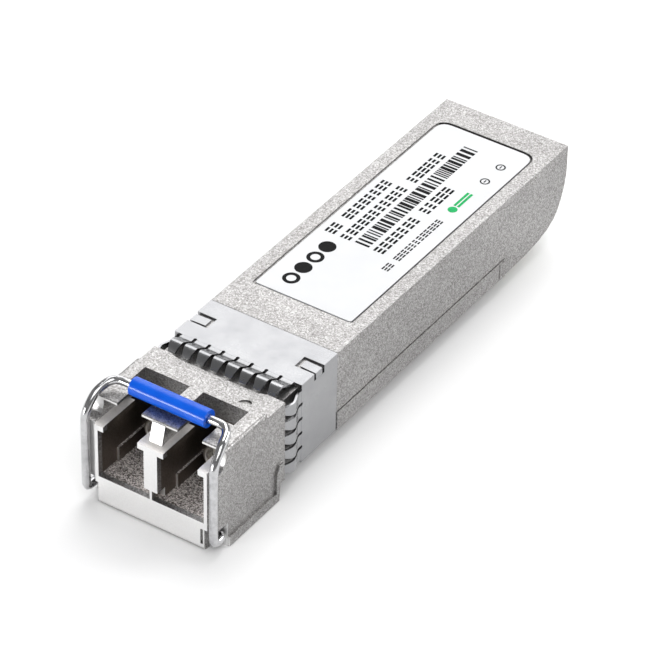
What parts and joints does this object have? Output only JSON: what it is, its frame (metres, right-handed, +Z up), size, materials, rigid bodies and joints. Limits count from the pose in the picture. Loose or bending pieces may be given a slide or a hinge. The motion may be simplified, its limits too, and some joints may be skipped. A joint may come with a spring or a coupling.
{
  "type": "optical transceiver module",
  "caption": "Pluggable duplex fibre transceiver: die-cast shells, finger collar, twin ports, wire bail that swings down and works a locking rocker underneath.",
  "frame": {"origin": "middle of the whole module's box in plan, on its lowest plane, the underside of the nose", "axes": "+Y from the ports to the card edge, +Z up through the label, +X to the right seen from the ports"},
  "size_m": [0.0142, 0.0572, 0.0125],
  "materials": {
    "die_cast_zinc": "satin nickel plate over a fine-grained die casting",
    "sheet_steel": "smooth nickel-plated spring steel",
    "stainless_wire": "bright drawn wire",
    "blue_plastic": "smooth extruded tube",
    "white_label": "satin printed film",
    "nickel_barrel": "turned",
    "white_ceramic": "polished",
    "gold_plate": "hard gold plate",
    "board_resin": "green solder mask",
    "chip_resin": "moulded",
    "amber_film": "polyimide film",
    "grey_silicone": "soft gap filler",
    "black_absorber": "matt sheet"
  },
  "bodies": {
    "module_body": {"base_shell": "die_cast_zinc", "upper_housing": "die_cast_zinc", "emi_collar": "sheet_steel", "product_label": "white_label", "rocker_pin": "stainless_wire", "return_spring": "sheet_steel", "transmitter_housing": "nickel_barrel", "receiver_housing": "nickel_barrel", "transmitter_ferrule_sleeve": "white_ceramic", "receiver_ferrule_sleeve": "white_ceramic", "fibre_stub": "white_ceramic", "laser_can": "gold_plate", "photodiode_can": "gold_plate", "transmitter_flex": "amber_film", "receiver_flex": "amber_film", "optic_saddle": "sheet_steel", "circuit_board": "board_resin", "edge_contacts_top": "gold_plate", "edge_contacts_bottom": "gold_plate", "laser_driver_chip": "chip_resin", "receiver_amplifier_chip": "chip_resin", "controller_chip": "chip_resin", "memory_chip": "chip_resin", "driver_thermal_pad": "grey_silicone", "laser_thermal_pad": "grey_silicone", "absorber_sheet": "black_absorber", "cover_screw_left": "stainless_wire", "cover_screw_right": "stainless_wire"},
    "bail": {"bail_wire": "stainless_wire", "bail_sleeve": "blue_plastic"},
    "rocker": {"latch_rocker": "die_cast_zinc"}
  },
  "joints": [
    {"name": "bail_swing", "type": "hinge", "parent": "module_body", "child": "bail", "pos_m": [0, -0.02679, 0.00135], "axis": [1, 0, 0], "range_deg": [0, 90]},
    {"name": "rocker_tilt", "type": "hinge", "parent": "module_body", "child": "rocker", "pos_m": [0, -0.02239, 0.0017], "axis": [1, 0, 0], "range_deg": [0, 5.25], "deforming": ["return_spring"]}
  ],
  "couplings": [
    {"joint": "rocker_tilt", "follows": "bail_swing", "ratio": 0.058}
  ]
}
